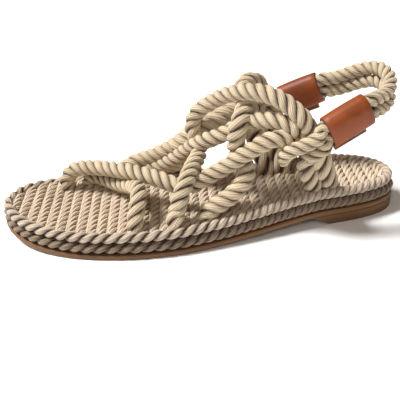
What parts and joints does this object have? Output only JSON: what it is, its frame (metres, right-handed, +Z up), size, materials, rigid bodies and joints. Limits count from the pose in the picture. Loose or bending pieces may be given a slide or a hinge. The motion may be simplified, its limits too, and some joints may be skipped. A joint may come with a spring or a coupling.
{
  "type": "rope sandal",
  "caption": "Flat open sandal with crossed twisted rope straps, a rope heel sling through leather sleeves, a woven rope insole and a rubber outsole with a low heel.",
  "frame": {"origin": "on the ground plane, under the middle of the sole's length and width", "axes": "+X from the toe to the heel, +Y to the inner (medial) side, +Z up"},
  "size_m": [0.2524, 0.0913, 0.091],
  "materials": {
    "tan_rubber": "matt moulded tan rubber",
    "border_jute": "matt twisted jute and cotton rope",
    "mat_cotton": "matt woven cotton rope",
    "rope_cotton": "matt three-strand cotton rope",
    "tan_leather": "smooth semi-gloss tan leather"
  },
  "bodies": {
    "root": {"outsole": "tan_rubber", "heel": "tan_rubber", "midsole": "border_jute", "border_rope": "border_jute", "insole_mat": "mat_cotton", "upper": "rope_cotton", "heel_rope_top": "rope_cotton", "heel_rope_low": "rope_cotton", "sleeve_outer": "tan_leather", "sleeve_inner": "tan_leather"}
  },
  "joints": []
}
